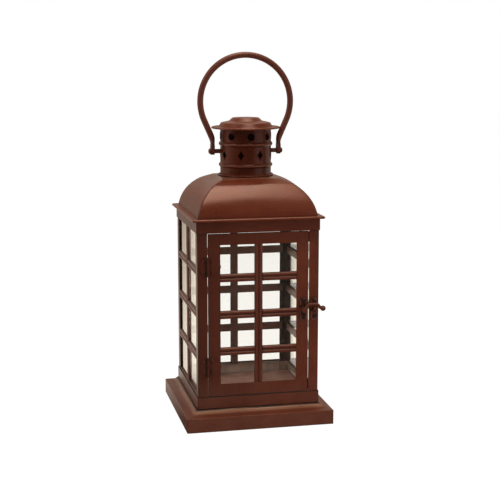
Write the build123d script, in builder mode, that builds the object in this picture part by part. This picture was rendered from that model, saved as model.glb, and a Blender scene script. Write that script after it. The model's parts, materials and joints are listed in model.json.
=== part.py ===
from build123d import *
from math import cos, radians, sin, sqrt, tan
import os

# Square candle lantern of painted tin with a hinged glazed door and a carrying bail.
# Origin at the middle of the base, on the surface it stands on. Front is -Y, the door's hinges are at -X.

# Sheet, glass and fits
sheet = 1.0
glass_thickness = 2.0
pin_play = 0.05
side_play = 0.3

# Body
body_width = 150.0
post_flange = 12.2
bottom_band_height = 15.0
window_height = 201.0
top_band_height = 16.0
ledge_depth = 7.0
ledge_end_gap = 0.5
sill_lip = 2.0

# Plinth and candle floor
plinth_step = 15.2
plinth_height = 18.0
plinth_edge_radius = 1.5
plinth_rim = 3.0
plinth_hem = 7.0
cove_rise = 6.0
cove_margin = 1.0
deck_width = 14.0
floor_thickness = 1.2
floor_play = 0.4

# Beaded bars
bar_width = 10.0
bead_radius = 2.0
bead_sink = 0.6
tab_length = 5.0
bar_rows = 3

# Glass and its clips
glass_edge_gap = 0.3
door_glass_lap = 7.0
clip_sheet = 0.8
clip_width = 8.0
clip_finger = 4.0
clip_foot = 4.5
strip_width = 9.0
strip_lap = 3.0

# Door
door_gap = 0.8
door_foot_gap = 0.9
stile_width = 15.0
top_rail_width = 13.7
bottom_rail_width = 14.6
door_return = 2.0
stop_lap = 4.2
stop_foot = 4.7

# Hinges
hinge_rise = 36.6
hinge_drop = 39.5
hinge_height = 22.0
leaf_sheet = 0.8
leaf_height = 20.0
leaf_shoulder = 6.0
leaf_tip_radius = 4.5
post_leaf_reach = 10.5
door_leaf_reach = 16.0
knuckle_radius = 1.8
door_knuckle = 8.0
hinge_pin_radius = 1.0
pin_head_radius = 1.5
pin_head_height = 0.9
leaf_rivet_reach = 5.4
leaf_rivet_spread = 13.0

# Rivets
rivet_radius = 0.9
rivet_head_radius = 1.6
rivet_head_height = 0.8
rivet_tail = 0.6
rivet_taper = 25.0

# Latch
latch_rise = 3.0
latch_inset = 6.5
plate_width = 9.0
plate_length = 28.0
plate_rivet_spread = 22.0
boss_radius = 3.6
boss_height = 1.2
pivot_radius = 1.5
pivot_head_radius = 3.0
pivot_head_height = 1.3
hub_radius = 3.8
hub_half = 2.2
lever_radius = 2.0
lever_rise = 6.2
lever_bend = 3.0
lever_overrun = 3.4
lever_foot = 5.8
ball_radius = 3.4
ball_standoff = 4.4
ball_rise = 0.9
keeper_width = 7.4
tongue_width = 4.0
nose_clearance = 0.4
nose_height = 3.2

# Roof
eave_overhang = 5.1
eave_roll_radius = 1.6
eave_roll_drop = 0.4
roof_rise = 44.0
eave_batter = 10.8
eave_handle = 25.9
crown_slope = 24.5
crown_handle = 20.4
crown_margin = 1.5

# Chimney
chimney_radius = 31.6
chimney_height = 59.0
foot_flange = 2.9
flange_roll_radius = 1.1
swage_radius = 1.8
swage_half_height = 2.6
lower_swage_height = 13.3
upper_swage_drop = 19.7
hole_count = 8
round_hole_radius = 4.5
round_hole_drop = 10.0
diamond_width = 8.0
diamond_height = 11.7

# Cap
brim_width = 11.0
cap_flare = 2.0
brim_roll_radius = 1.1
brim_roll_rise = 0.8
brim_dish = 0.7
cap_round = 1.5
step_rise = 6.2
knob_foot_radius = 20.6
knob_foot_rise = 8.4
knob_top_radius = 16.4
knob_rise = 12.2

# Bail
pin_drop = 9.1
bail_rod_radius = 3.4
bail_ring_radius = 56.8
bail_elbow_height = 15.0
bail_arm_angle = 24.0
bail_bend_radius = 24.0
eye_standoff = 10.2
eye_thickness = 4.4
eye_width = 9.0
eye_round = 1.3
strap_length = 5.5
bail_pin_radius = 2.7
journal_radius = 1.7
dome_radius = 3.4
dome_height = 2.6
dome_round = 2.1
peen_radius = 3.2
peen_height = 1.2

# Heights and half-widths worked out from the sizes above
half = body_width / 2
band_half = half + sheet
plinth_half = band_half + plinth_step
deck_z = plinth_height + cove_rise
sill_z = deck_z + bottom_band_height
head_z = sill_z + window_height
eave_z = head_z + top_band_height
crown_z = eave_z + sheet + roof_rise
cap_z = crown_z + chimney_height
pin_z = cap_z - upper_swage_drop - pin_drop
eye_offset = chimney_radius + eye_standoff
post_edge = half - post_flange
bar_seat = half - 2 * sheet
glass_back = bar_seat - glass_thickness
ledge_edge = half - ledge_depth
ledge_half = post_edge - ledge_end_gap

door_half = post_edge - door_gap
door_foot_z = sill_z + door_foot_gap
door_head_z = head_z - door_gap
opening_half = door_half - stile_width
opening_foot_z = door_foot_z + bottom_rail_width
opening_head_z = door_head_z - top_rail_width

UP = (0, 0, 1)
FRONT = (0, -1, 0)
WALLS = {"left": (-1, 0, 0), "right": (1, 0, 0), "rear": (0, 1, 0)}

os.makedirs("parts", exist_ok=True)


def keep(piece, name):
    """Label a finished piece and write it."""
    piece.part.label = name
    export_step(piece.part, f"parts/{name}.step")


def square_form(outline, reach):
    """A form of square plan: the same half outline seen from the front and from the side."""

    def view(plane):
        with BuildSketch(plane) as seen:
            with BuildLine():
                outline()
            make_face()
            mirror(about=Plane.YZ)
        return seen.sketch

    with BuildPart() as form:
        extrude(view(Plane.XZ), amount=reach, both=True)
        extrude(view(Plane.YZ), amount=reach, both=True, mode=Mode.INTERSECT)
    return form.part


def wall_plane(normal, distance=0.0):
    """Plane of a wall seen from outside: x along the wall, y up, z outwards."""
    out = Vector(*normal)
    return Plane(origin=out * distance, x_dir=Vector(*UP).cross(out), z_dir=out)


# Plinth: an upside-down tray with a vertical band, a hollow cove and a flat deck


def plinth_outside():
    edge_z = plinth_height - plinth_edge_radius
    Polyline((0, 0), (plinth_half, 0), (plinth_half, edge_z))
    rim_x = plinth_half - plinth_edge_radius
    TangentArc((plinth_half, edge_z), (rim_x, plinth_height), tangent=(0, 1))
    foot_x = plinth_half - plinth_rim
    Line((rim_x, plinth_height), (foot_x, plinth_height))
    cove_x = band_half + cove_margin
    TangentArc((foot_x, plinth_height), (cove_x, deck_z), tangent=(-1, 0))
    Polyline((cove_x, deck_z), (0, deck_z), (0, 0))


def plinth_inside():
    wall_x = plinth_half - sheet
    shelf_z = plinth_height - sheet
    foot_x = plinth_half - plinth_rim
    Polyline((0, sheet), (wall_x, sheet), (wall_x, shelf_z), (foot_x, shelf_z))
    cove_x = band_half + cove_margin - sheet / 2
    TangentArc((foot_x, shelf_z), (cove_x, deck_z - sheet), tangent=(-1, 0))
    Polyline((cove_x, deck_z - sheet), (0, deck_z - sheet), (0, sheet))


with BuildPart() as plinth:
    add(square_form(plinth_outside, plinth_half))
    add(square_form(plinth_inside, plinth_half), mode=Mode.SUBTRACT)
    with BuildSketch():
        Rectangle(2 * (plinth_half - plinth_hem), 2 * (plinth_half - plinth_hem))
    extrude(amount=sheet, mode=Mode.SUBTRACT)
    with BuildSketch(Plane.XY.offset(deck_z - sheet)):
        Rectangle(body_width - 2 * deck_width, body_width - 2 * deck_width)
    extrude(amount=sheet, mode=Mode.SUBTRACT)
keep(plinth, "plinth")

with BuildPart() as candle_floor:
    floor_width = body_width - 2 * (sheet + floor_play)
    with BuildSketch(Plane.XY.offset(deck_z)):
        Rectangle(floor_width, floor_width)
    extrude(amount=floor_thickness)
keep(candle_floor, "candle_floor")


# Where the hinges, the latch and the keeper sit on the front

hinge_x = -(post_edge - door_gap / 2)
hinge_y = -(half + knuckle_radius + side_play)
mid_door_z = (door_foot_z + door_head_z) / 2
hinge_heights = {"upper": door_head_z - hinge_drop, "lower": door_foot_z + hinge_rise}
latch_x = door_half - latch_inset
latch_z = (opening_foot_z + opening_head_z) / 2 + latch_rise
keeper_x = half - post_flange / 2


def leaf_rivet_spots(side):
    """Places of the leaf rivets on the front, on the door (1) or on the post (-1)."""
    return [
        (hinge_x + side * leaf_rivet_reach, z + step * leaf_rivet_spread / 2)
        for z in hinge_heights.values()
        for step in (-1, 1)
    ]


def plate_rivet_spots(x):
    return [(x, latch_z + step * plate_rivet_spread / 2) for step in (-1, 1)]


front_face = wall_plane(FRONT, half)


def rivet_holes(spots):
    """Sketch of rivet holes on the outer face of the front."""
    with BuildSketch(front_face) as holes:
        with Locations(*spots):
            Circle(rivet_radius + pin_play)
    return holes.sketch


# Corner posts and the two bands round them


def corner_post(name, side_x, side_y, rivet_spots):
    with BuildPart() as post:
        with BuildSketch(Plane.XY.offset(deck_z)):
            with Locations((side_x * (half - post_flange / 2), side_y * (half - sheet / 2))):
                Rectangle(post_flange, sheet)
            with Locations((side_x * (half - sheet / 2), side_y * (half - post_flange / 2))):
                Rectangle(sheet, post_flange)
        extrude(amount=eave_z - deck_z)
        if rivet_spots:
            extrude(rivet_holes(rivet_spots), amount=-sheet, mode=Mode.SUBTRACT)
    keep(post, name)


corner_post("front_left_post", -1, -1, leaf_rivet_spots(-1))
corner_post("front_right_post", 1, -1, plate_rivet_spots(keeper_x))
corner_post("rear_left_post", -1, 1, [])
corner_post("rear_right_post", 1, 1, [])


def band_wall():
    Rectangle(2 * band_half, 2 * band_half)
    Rectangle(body_width, body_width, mode=Mode.SUBTRACT)


def glass_ledges():
    """Strips turned in from the band between the posts, one on each wall."""
    with PolarLocations((band_half + ledge_edge) / 2, 4):
        Rectangle(band_half - ledge_edge, 2 * ledge_half)


with BuildPart() as bottom_band:
    with BuildSketch(Plane.XY.offset(deck_z)):
        band_wall()
    extrude(amount=bottom_band_height)
    with BuildSketch(Plane.XY.offset(sill_z - sheet)):
        glass_ledges()
    extrude(amount=sheet)
    with BuildSketch(Plane.XY.offset(sill_z)):
        with PolarLocations(bar_seat + sheet / 2, 3, angular_range=180, endpoint=True):
            Rectangle(sheet, 2 * ledge_half)
    extrude(amount=sill_lip)
keep(bottom_band, "bottom_band")

with BuildPart() as top_band:
    with BuildSketch(Plane.XY.offset(head_z)):
        band_wall()
    extrude(amount=top_band_height)
    with BuildSketch(Plane.XY.offset(head_z)):
        glass_ledges()
    extrude(amount=sheet)
keep(top_band, "top_band")


# Beaded bars: a flat strip with two round beads and a groove between them


def bar_profile(plane):
    with BuildSketch(plane) as profile:
        with Locations((0, sheet / 2)):
            Rectangle(bar_width, sheet)
        with Locations((-bar_width / 4, sheet - bead_sink), (bar_width / 4, sheet - bead_sink)):
            Circle(bead_radius)
        with Locations((0, -bead_radius)):
            Rectangle(bar_width, 2 * bead_radius, mode=Mode.SUBTRACT)
    return profile.sketch


def tab_profile(plane):
    with BuildSketch(plane) as profile:
        with Locations((0, sheet / 2)):
            Rectangle(bar_width, sheet)
    return profile.sketch


def upright(name, normal, foot_z, end_z, tab):
    """A bar standing on the wall's middle line, with a flat tab past each end where tab is not 0."""
    out = Vector(*normal)
    across = out.cross(Vector(*UP))

    def level(z):
        return Plane(origin=out * bar_seat + Vector(0, 0, z), x_dir=across, z_dir=Vector(*UP))

    with BuildPart() as bar:
        extrude(bar_profile(level(foot_z)), amount=end_z - foot_z)
        if tab:
            extrude(tab_profile(level(foot_z - tab)), amount=end_z - foot_z + 2 * tab)
    keep(bar, name)


def bar_heights(foot_z, end_z):
    """Heights of the cross bars' middle lines, spread evenly between two levels."""
    bar_pitch = (end_z - foot_z + bar_width) / (bar_rows + 1)
    return [foot_z + (row + 1) * bar_pitch - bar_width / 2 for row in range(bar_rows)]


def cross_bars(name, normal, foot_z, end_z, bar_end):
    """Half bars from the upright to the frame on each side, whose flat tabs go behind the frame."""
    out = Vector(*normal)
    with BuildPart() as bars:
        for z in bar_heights(foot_z, end_z):
            for side in (-1, 1):
                along = Vector(*UP).cross(out) * side
                start = out * bar_seat + Vector(0, 0, z) + along * (bar_width / 2)
                plane = Plane(origin=start, x_dir=out.cross(along), z_dir=along)
                extrude(bar_profile(plane), amount=bar_end - bar_width / 2)
                extrude(tab_profile(plane), amount=bar_end - bar_width / 2 + tab_length)
    keep(bars, name)


def pane(name, normal, half_width, foot_z, end_z):
    with BuildPart() as glass:
        with BuildSketch(wall_plane(normal, glass_back)):
            with Locations((0, (foot_z + end_z) / 2)):
                Rectangle(2 * half_width, end_z - foot_z)
        extrude(amount=glass_thickness)
    keep(glass, name)


def glazing_cross(normal, reach, foot_z, end_z, rows):
    """Flat strips on the inner face of the glass, behind the beaded bars."""
    with BuildSketch(wall_plane(normal, glass_back)) as cross:
        with Locations((0, (foot_z + end_z) / 2)):
            Rectangle(strip_width, end_z - foot_z)
        with Locations(*[(0, z) for z in rows]):
            Rectangle(2 * reach, strip_width)
    return cross.sketch


def strip_feet(normal):
    """Ends of the upright strip, turned in onto the two glass ledges."""
    with BuildSketch(wall_plane(normal, glass_back)) as feet:
        with Locations((0, sill_z + clip_sheet / 2), (0, head_z - clip_sheet / 2)):
            Rectangle(strip_width, clip_sheet)
    return feet.sketch


wall_glass_half = glass_back - glass_edge_gap
glass_head_z = head_z - glass_edge_gap
wall_rows = bar_heights(sill_z + sill_lip, head_z)
for wall, normal in WALLS.items():
    upright(f"{wall}_upright", normal, sill_z + sill_lip, head_z, 0)
    cross_bars(f"{wall}_cross_bars", normal, sill_z + sill_lip, head_z, post_edge)
    pane(f"{wall}_glass", normal, wall_glass_half, sill_z, glass_head_z)
    with BuildPart() as strips:
        cross = glazing_cross(normal, post_edge + strip_lap, sill_z, head_z, wall_rows)
        extrude(cross, amount=-clip_sheet)
        extrude(strip_feet(normal), amount=ledge_edge - glass_back)
    keep(strips, f"{wall}_glazing_strips")


# Door: sheet frame with its outer edges turned in, glazed like the walls, and the post's tabs that stop it

with BuildPart() as door_frame:
    with BuildSketch(front_face):
        with Locations((0, mid_door_z)):
            Rectangle(2 * door_half, door_head_z - door_foot_z)
        with Locations((0, (opening_foot_z + opening_head_z) / 2)):
            Rectangle(2 * opening_half, opening_head_z - opening_foot_z, mode=Mode.SUBTRACT)
    extrude(amount=-sheet)
    with BuildSketch(wall_plane(FRONT, half - sheet)):
        with Locations((0, mid_door_z)):
            Rectangle(2 * door_half, door_head_z - door_foot_z)
            Rectangle(2 * (door_half - sheet), door_head_z - door_foot_z - 2 * sheet, mode=Mode.SUBTRACT)
    extrude(amount=-door_return)
    holes = rivet_holes(leaf_rivet_spots(1) + plate_rivet_spots(latch_x))
    extrude(holes, amount=sheet, both=True, mode=Mode.SUBTRACT)
    with BuildSketch(front_face):
        with Locations((latch_x, latch_z)):
            Circle(pivot_radius + pin_play)
    extrude(amount=-sheet, mode=Mode.SUBTRACT)
keep(door_frame, "door_frame")

upright("door_upright", FRONT, opening_foot_z, opening_head_z, tab_length)
cross_bars("door_cross_bars", FRONT, opening_foot_z, opening_head_z, opening_half)
door_glass_half = opening_half + door_glass_lap
pane("door_glass", FRONT, door_glass_half, opening_foot_z - door_glass_lap, opening_head_z + door_glass_lap)


def bent_clip(plane):
    """Section of a strip bent from the inner face of the glass round its edge to the back of the frame."""
    stand = glass_thickness + sheet
    with BuildSketch(plane) as bend:
        with BuildLine():
            Polyline(
                (-clip_finger, 0),
                (0, 0),
                (0, -stand),
                (clip_foot, -stand),
                (clip_foot, -stand + clip_sheet),
                (clip_sheet, -stand + clip_sheet),
                (clip_sheet, clip_sheet),
                (-clip_finger, clip_sheet),
                close=True,
            )
        make_face()
    return bend.sketch


door_rows = bar_heights(opening_foot_z, opening_head_z)
with BuildPart() as door_glass_clips:
    clip_heights = [(low + high) / 2 for low, high in zip(door_rows, door_rows[1:])]
    for side in (-1, 1):
        for z in clip_heights:
            corner = Vector(side * (door_glass_half + glass_edge_gap), -glass_back, z)
            section = bent_clip(Plane(origin=corner, x_dir=(side, 0, 0), z_dir=(0, 0, side)))
            extrude(section, amount=clip_width / 2, both=True)
keep(door_glass_clips, "door_glass_clips")

with BuildPart() as door_glazing_strips:
    strip_reach = door_glass_half - glass_edge_gap
    strip_foot_z = opening_foot_z - door_glass_lap - glass_edge_gap
    strip_head_z = opening_head_z + door_glass_lap + glass_edge_gap
    cross = glazing_cross(FRONT, strip_reach, strip_foot_z, strip_head_z, door_rows)
    extrude(cross, amount=-clip_sheet)
    for end, z in ((-1, strip_foot_z), (1, strip_head_z)):
        section = bent_clip(Plane(origin=(0, -glass_back, z), x_dir=(0, 0, end), z_dir=(-end, 0, 0)))
        extrude(section, amount=strip_width / 2, both=True)
keep(door_glazing_strips, "door_glazing_strips")

with BuildPart() as door_stops:
    post_inside = half - sheet
    stop_edge = door_half - stop_lap
    stop_y = -(half - sheet - door_return - side_play)
    for foot_z, end_z in ((door_foot_z + sheet, opening_foot_z), (opening_head_z, door_head_z - sheet)):
        with BuildSketch(Plane.XY.offset(foot_z)):
            with BuildLine():
                Polyline(
                    (stop_edge, stop_y),
                    (post_inside, stop_y),
                    (post_inside, stop_y + stop_foot),
                    (post_inside - clip_sheet, stop_y + stop_foot),
                    (post_inside - clip_sheet, stop_y + clip_sheet),
                    (stop_edge, stop_y + clip_sheet),
                    close=True,
                )
            make_face()
        extrude(amount=end_z - foot_z)
keep(door_stops, "door_stops")


# Hinges: a tongue-shaped leaf on the post and one on the door, rolled round a headed pin

post_knuckle = (hinge_height - door_knuckle) / 2 - side_play


def hinge_leaf(name, side, z, reach, knuckles):
    """One leaf; knuckles lists the (middle, length) of its rolled stretches, up from the hinge's middle."""
    clear = knuckle_radius + side_play
    leaf_face = Plane(origin=(hinge_x, -half, z), x_dir=(side, 0, 0), z_dir=(0, -side, 0))
    axis_top = Plane(origin=(hinge_x, hinge_y, z))
    spots = [(leaf_rivet_reach, step * leaf_rivet_spread / 2) for step in (-1, 1)]
    with BuildPart() as leaf:
        with BuildSketch(leaf_face):
            with Locations(((clear + leaf_shoulder) / 2, 0)):
                Rectangle(leaf_shoulder - clear, leaf_height)
            with Locations((reach - leaf_tip_radius, 0)):
                Circle(leaf_tip_radius)
            make_hull()
            with Locations(*spots):
                Circle(rivet_radius + pin_play, mode=Mode.SUBTRACT)
            for middle, length in knuckles:
                with Locations((clear / 2, middle)):
                    Rectangle(clear, length)
        extrude(amount=side * leaf_sheet)
        for middle, length in knuckles:
            with BuildSketch(axis_top.offset(middle)):
                Circle(knuckle_radius)
            extrude(amount=length / 2, both=True)
        with BuildSketch(axis_top):
            Circle(hinge_pin_radius + pin_play)
        extrude(amount=hinge_height, both=True, mode=Mode.SUBTRACT)
    keep(leaf, name)


def hinge_pin(name, z):
    with BuildPart() as pin:
        with BuildSketch(Plane(origin=(hinge_x, hinge_y, z))):
            Circle(hinge_pin_radius)
        extrude(amount=hinge_height / 2, both=True)
        for end in (-1, 1):
            face = Plane(origin=(hinge_x, hinge_y, z + end * hinge_height / 2), z_dir=(0, 0, end))
            with BuildSketch(face):
                Circle(pin_head_radius)
            extrude(amount=pin_head_height)
            fillet(pin.edges().group_by(Axis.Z)[0 if end < 0 else -1], pin_head_height / 2)
    keep(pin, name)


def rivets(name, spots, under, through):
    """Domed rivets on the front: under is the plate below the head, through is all that they hold."""
    with BuildPart() as row:
        for x, z in spots:
            head = Plane(origin=(x, -half - under, z), x_dir=(1, 0, 0), z_dir=FRONT)
            with BuildSketch(head):
                Circle(rivet_head_radius)
            extrude(amount=rivet_head_height, taper=rivet_taper)
            with BuildSketch(head):
                Circle(rivet_radius)
            extrude(amount=-through)
            with BuildSketch(head.offset(-through)):
                Circle(rivet_head_radius)
            extrude(amount=-rivet_tail)
    keep(row, name)


post_knuckle_middle = (door_knuckle + post_knuckle) / 2 + side_play
for place, z in hinge_heights.items():
    ends = [(-post_knuckle_middle, post_knuckle), (post_knuckle_middle, post_knuckle)]
    hinge_leaf(f"{place}_hinge_post_leaf", -1, z, post_leaf_reach, ends)
    hinge_leaf(f"{place}_hinge_door_leaf", 1, z, door_leaf_reach, [(0, door_knuckle)])
    hinge_pin(f"{place}_hinge_pin", z)

rivets("post_hinge_rivets", leaf_rivet_spots(-1), leaf_sheet, leaf_sheet + sheet)
rivets("door_hinge_rivets", leaf_rivet_spots(1), leaf_sheet, leaf_sheet + sheet)


# Latch: plate, pivot and swan-neck lever on the door, hooked keeper on the post

lever_y = -(half + sheet + boss_height + side_play + hub_half)
latch_axis = Plane(origin=(latch_x, -half, latch_z), x_dir=(1, 0, 0), z_dir=FRONT)

with BuildPart() as latch_plate:
    with BuildSketch(latch_axis):
        SlotOverall(plate_length, plate_width, rotation=90)
    extrude(amount=sheet)
    with BuildSketch(latch_axis.offset(sheet)):
        Circle(boss_radius)
    extrude(amount=boss_height)
    with BuildSketch(latch_axis):
        Circle(pivot_radius + pin_play)
    extrude(amount=sheet + boss_height, mode=Mode.SUBTRACT)
    extrude(rivet_holes(plate_rivet_spots(latch_x)), amount=sheet, mode=Mode.SUBTRACT)
keep(latch_plate, "latch_plate")

rivets("latch_plate_rivets", plate_rivet_spots(latch_x), sheet, 2 * sheet)

hub_front = sheet + boss_height + side_play + 2 * hub_half
with BuildPart() as latch_pivot:
    with BuildSketch(latch_axis):
        Circle(pivot_radius)
    extrude(amount=hub_front + side_play)
    with BuildSketch(latch_axis.offset(hub_front + side_play)):
        Circle(pivot_head_radius)
    extrude(amount=pivot_head_height)
    fillet(latch_pivot.edges().group_by(Axis.Y)[0], pivot_head_height / 2)
    with BuildSketch(latch_axis):
        Circle(pivot_radius)
    extrude(amount=-sheet)
    with BuildSketch(latch_axis.offset(-sheet)):
        Circle(pivot_head_radius)
    extrude(amount=-rivet_tail)
keep(latch_pivot, "latch_pivot")

keeper_reach = keeper_x - latch_x
ball_x = half + ball_standoff - latch_x
with BuildPart() as latch_lever:
    lever_plane = Plane(origin=(latch_x, lever_y, latch_z), x_dir=(1, 0, 0), z_dir=FRONT)
    with BuildLine(lever_plane) as neck:
        FilletPolyline(
            (0, 0),
            (lever_foot, lever_rise),
            (keeper_reach + lever_overrun, lever_rise),
            (ball_x - ball_radius, ball_rise + lever_radius / 2),
            (ball_x, ball_rise),
            radius=lever_bend,
        )
    with BuildSketch(Plane(origin=neck.line @ 0, z_dir=neck.line % 0)):
        Circle(lever_radius)
    sweep(path=neck.line)
    with BuildSketch(lever_plane):
        Circle(hub_radius)
    extrude(amount=hub_half, both=True)
    with Locations(lever_plane):
        with Locations((ball_x, ball_rise, 0)):
            Sphere(ball_radius)
    with BuildSketch(lever_plane):
        Circle(pivot_radius + pin_play)
    extrude(amount=2 * hub_half, both=True, mode=Mode.SUBTRACT)
keep(latch_lever, "latch_lever")

nose_top = latch_z + lever_rise - lever_radius - nose_clearance
tongue_top = nose_top - nose_height
nose_back = -lever_y + lever_radius + nose_clearance
with BuildPart() as keeper:
    with BuildSketch(Plane(origin=(keeper_x, -half, latch_z), x_dir=(1, 0, 0), z_dir=FRONT)):
        SlotOverall(plate_length, keeper_width, rotation=90)
    extrude(amount=sheet)
    extrude(rivet_holes(plate_rivet_spots(keeper_x)), amount=sheet, mode=Mode.SUBTRACT)
    with BuildSketch(Plane(origin=(keeper_x, 0, 0), x_dir=(0, -1, 0), z_dir=(-1, 0, 0))):
        with BuildLine():
            Polyline(
                (half + sheet, tongue_top - sheet),
                (nose_back + sheet, tongue_top - sheet),
                (nose_back + sheet, nose_top),
                (nose_back, nose_top),
                (nose_back, tongue_top),
                (half + sheet, tongue_top),
                close=True,
            )
        make_face()
    extrude(amount=tongue_width / 2, both=True)
keep(keeper, "keeper")

rivets("keeper_rivets", plate_rivet_spots(keeper_x), sheet, 2 * sheet)


# Roof: a vault on a square plan, open at the crown, with a flat eave and a rolled edge

eave_half = band_half + eave_overhang - eave_roll_radius
crown_half = chimney_radius + foot_flange + crown_margin


def vault(foot, crown):
    """The roof's curve from the eave up to the crown."""
    lean = radians(eave_batter)
    slope = radians(crown_slope)
    low = (foot[0] - eave_handle * sin(lean), foot[1] + eave_handle * cos(lean))
    high = (crown[0] + crown_handle * cos(slope), crown[1] - crown_handle * sin(slope))
    Bezier(foot, low, high, crown)


def roof_outside():
    foot = (half - sheet, eave_z + sheet)
    crown = (crown_half, crown_z)
    Polyline((0, eave_z), (half - sheet, eave_z), foot)
    vault(foot, crown)
    Polyline(crown, (0, crown_z), (0, eave_z))


def roof_inside():
    foot = (half - 2 * sheet, eave_z + sheet)
    crown = (crown_half - sheet / 2, crown_z - sheet)
    Polyline((0, eave_z), (half - 2 * sheet, eave_z), foot)
    vault(foot, crown)
    Polyline(crown, (0, crown_z - sheet), (0, eave_z))


with BuildPart() as roof:
    add(square_form(roof_outside, half))
    with BuildSketch(Plane.XY.offset(eave_z)):
        Rectangle(2 * eave_half, 2 * eave_half)
    extrude(amount=sheet)
    add(square_form(roof_inside, half), mode=Mode.SUBTRACT)
    with BuildSketch(Plane.XY.offset(crown_z - sheet)):
        Circle(chimney_radius - sheet)
    extrude(amount=sheet, mode=Mode.SUBTRACT)
    roll_z = eave_z - eave_roll_drop
    with BuildLine(Plane.XY.offset(roll_z)) as edge:
        Polyline(
            (0, -eave_half),
            (eave_half, -eave_half),
            (eave_half, eave_half),
            (-eave_half, eave_half),
            (-eave_half, -eave_half),
            close=True,
        )
    with BuildSketch(Plane(origin=(0, -eave_half, roll_z), z_dir=(1, 0, 0))):
        Circle(eave_roll_radius)
    sweep(path=edge.line, transition=Transition.RIGHT)
keep(roof, "roof")


# Chimney: a tube with two swaged beads, a rolled foot flange and two rows of punched holes


def tube_line(radius, swages):
    """The tube's side at one radius, from one end to the other, past each swaged bead."""
    start = (radius, swages[0])
    for z in swages[1:-1]:
        step = swage_half_height if swages[-1] > swages[0] else -swage_half_height
        Line(start, (radius, z - step))
        ThreePointArc((radius, z - step), (radius + swage_radius, z), (radius, z + step))
        start = (radius, z + step)
    Line(start, (radius, swages[-1]))


def radial_plane(angle, z):
    """Plane on the chimney's axis that looks outwards, at an angle from the front."""
    turn = radians(angle)
    return Plane(origin=(0, 0, z), x_dir=(cos(turn), sin(turn), 0), z_dir=(sin(turn), -cos(turn), 0))


bore = chimney_radius - sheet
swage_heights = [crown_z + lower_swage_height, cap_z - upper_swage_drop]
with BuildPart() as chimney:
    with BuildSketch(Plane.XZ):
        with BuildLine():
            roll_x = chimney_radius + foot_flange - flange_roll_radius
            flange_z = crown_z + sheet
            Polyline((bore, crown_z), (roll_x, crown_z), (roll_x, flange_z), (chimney_radius, flange_z))
            tube_line(chimney_radius, [flange_z, *swage_heights, cap_z])
            Line((chimney_radius, cap_z), (bore, cap_z))
            tube_line(bore, [cap_z, *reversed(swage_heights), crown_z])
        make_face()
        with Locations((roll_x, crown_z + flange_roll_radius)):
            Circle(flange_roll_radius)
    revolve(axis=Axis.Z)
    for number in range(hole_count):
        angle = number * 360 / hole_count
        with BuildSketch(radial_plane(angle, cap_z - round_hole_drop)):
            Circle(round_hole_radius)
        extrude(amount=2 * chimney_radius, mode=Mode.SUBTRACT)
        with BuildSketch(radial_plane(angle + 180 / hole_count, sum(swage_heights) / 2)):
            Polygon(
                (diamond_width / 2, 0),
                (0, diamond_height / 2),
                (-diamond_width / 2, 0),
                (0, -diamond_height / 2),
            )
        extrude(amount=2 * chimney_radius, mode=Mode.SUBTRACT)
    with BuildSketch(Plane.YZ):
        with Locations((0, pin_z)):
            Circle(bail_pin_radius + pin_play)
    extrude(amount=2 * chimney_radius, both=True, mode=Mode.SUBTRACT)
keep(chimney, "chimney")


# Cap: a pressed stepped cover with a dished brim and a rolled edge

with BuildPart() as cap:
    cap_wall_radius = chimney_radius + cap_flare
    step_radius = chimney_radius - sheet
    brim_x = chimney_radius + brim_width - brim_roll_radius
    brim_z = cap_z - brim_dish
    with BuildSketch(Plane.XZ):
        with BuildLine():
            FilletPolyline(
                (0, cap_z + knob_rise),
                (knob_top_radius, cap_z + knob_rise),
                (knob_foot_radius, cap_z + knob_foot_rise),
                (step_radius, cap_z + step_rise),
                (cap_wall_radius, cap_z + sheet),
                (brim_x, brim_z + sheet),
                radius=cap_round,
            )
            Polyline(
                (brim_x, brim_z + sheet),
                (brim_x, brim_z),
                (cap_wall_radius - sheet, cap_z),
                (bore, cap_z),
                (step_radius - 2 * sheet, cap_z + step_rise - sheet),
                (knob_foot_radius - sheet, cap_z + knob_foot_rise - sheet),
                (knob_top_radius - sheet, cap_z + knob_rise - sheet),
                (0, cap_z + knob_rise - sheet),
                (0, cap_z + knob_rise),
            )
        make_face()
        with Locations((brim_x, brim_z + brim_roll_rise)):
            Circle(brim_roll_radius)
    revolve(axis=Axis.Z)
keep(cap, "cap")


# Bail and its pins

eye_face = eye_offset + eye_thickness / 2
with BuildPart() as bail_pins:
    peen_x = sqrt(bore**2 - peen_radius**2) - pin_play
    for side in (-1, 1):
        base = Plane(origin=(0, 0, pin_z), z_dir=(side, 0, 0))
        with BuildSketch(base.offset(peen_x - peen_height)):
            Circle(peen_radius)
        extrude(amount=peen_height)
        shoulder = eye_face - eye_thickness - side_play
        with BuildSketch(base.offset(peen_x)):
            Circle(bail_pin_radius)
        extrude(amount=shoulder - peen_x)
        with BuildSketch(base.offset(shoulder)):
            Circle(journal_radius)
        extrude(amount=eye_face + side_play - shoulder)
        with BuildSketch(base.offset(eye_face + side_play)):
            Circle(dome_radius)
        extrude(amount=dome_height)
        fillet(bail_pins.edges().group_by(Axis.X)[-1 if side > 0 else 0], dome_round)
keep(bail_pins, "bail_pins")

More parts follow.
